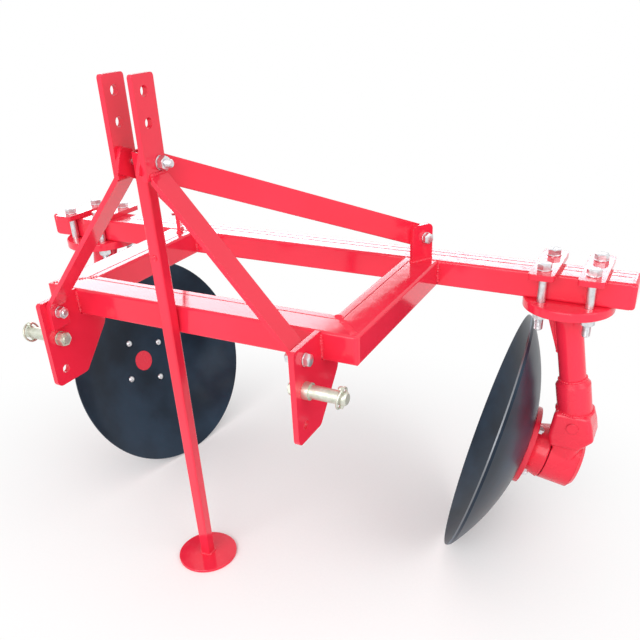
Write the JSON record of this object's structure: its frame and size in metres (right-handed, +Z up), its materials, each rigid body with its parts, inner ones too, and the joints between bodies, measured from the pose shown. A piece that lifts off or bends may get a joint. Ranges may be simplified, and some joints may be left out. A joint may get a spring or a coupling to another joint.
{
  "type": "disc ridger",
  "caption": "Tractor-mounted disc ridger: a welded box-bar frame with a hitch mast, dished discs on leaning posts clamped under a toolbar, and a swinging parking stand",
  "frame": {"origin": "on the ground, at the middle of the machine's width and depth", "axes": "+Y is to the rear, away from the tractor; +X is the machine's left seen from behind; +Z is up"},
  "size_m": [1.74, 0.9548, 1.271],
  "materials": {
    "red_paint": "gloss",
    "zinc_steel": "bright zinc",
    "yellow_zinc": "yellow zinc",
    "black_disc": "gloss"
  },
  "bodies": {
    "frame": {"bearing_casting_left": "red_paint", "bearing_casting_right": "red_paint", "brace_bolts": "zinc_steel", "brace_lug_left": "red_paint", "brace_lug_right": "red_paint", "clamp_bolts_left": "zinc_steel", "clamp_bolts_right": "zinc_steel", "clamp_strips_left": "red_paint", "clamp_strips_right": "red_paint", "end_cap_left": "red_paint", "end_cap_right": "red_paint", "flange_left": "red_paint", "flange_right": "red_paint", "front_bar": "red_paint", "gusset_left": "red_paint", "gusset_right": "red_paint", "hitch_plate_left": "red_paint", "hitch_plate_right": "red_paint", "leg_bolts": "zinc_steel", "leg_left": "red_paint", "leg_right": "red_paint", "lower_link_pin_left": "yellow_zinc", "lower_link_pin_right": "yellow_zinc", "mast_bolt": "zinc_steel", "mast_plate_left": "red_paint", "mast_plate_right": "red_paint", "pin_nuts": "yellow_zinc", "post_left": "red_paint", "post_right": "red_paint", "rear_brace_left": "red_paint", "rear_brace_right": "red_paint", "side_bar_left": "red_paint", "side_bar_right": "red_paint", "toolbar": "red_paint", "toolbar_end_left": "red_paint", "toolbar_end_right": "red_paint"},
    "left_disc": {"disc_left": "black_disc", "hub_left": "red_paint", "hub_bolts_left": "zinc_steel"},
    "right_disc": {"disc_right": "black_disc", "hub_right": "red_paint", "hub_bolts_right": "zinc_steel"},
    "stand": {"stand_tube": "red_paint", "stand_foot": "red_paint"}
  },
  "joints": [
    {"name": "left_disc_spin", "type": "hinge", "parent": "frame", "child": "left_disc", "pos_m": [0.5484, 0.151, 0.31874], "axis": [0.9506, 0.1567, -0.2679], "continuous": true},
    {"name": "right_disc_spin", "type": "hinge", "parent": "frame", "child": "right_disc", "pos_m": [-0.5484, 0.151, 0.31874], "axis": [-0.9506, 0.1567, -0.2679], "continuous": true},
    {"name": "stand_swing", "type": "hinge", "parent": "frame", "child": "stand", "pos_m": [0, -0.4279, 1.11604], "axis": [-1, 0, 0], "range_deg": [0, 90]}
  ]
}
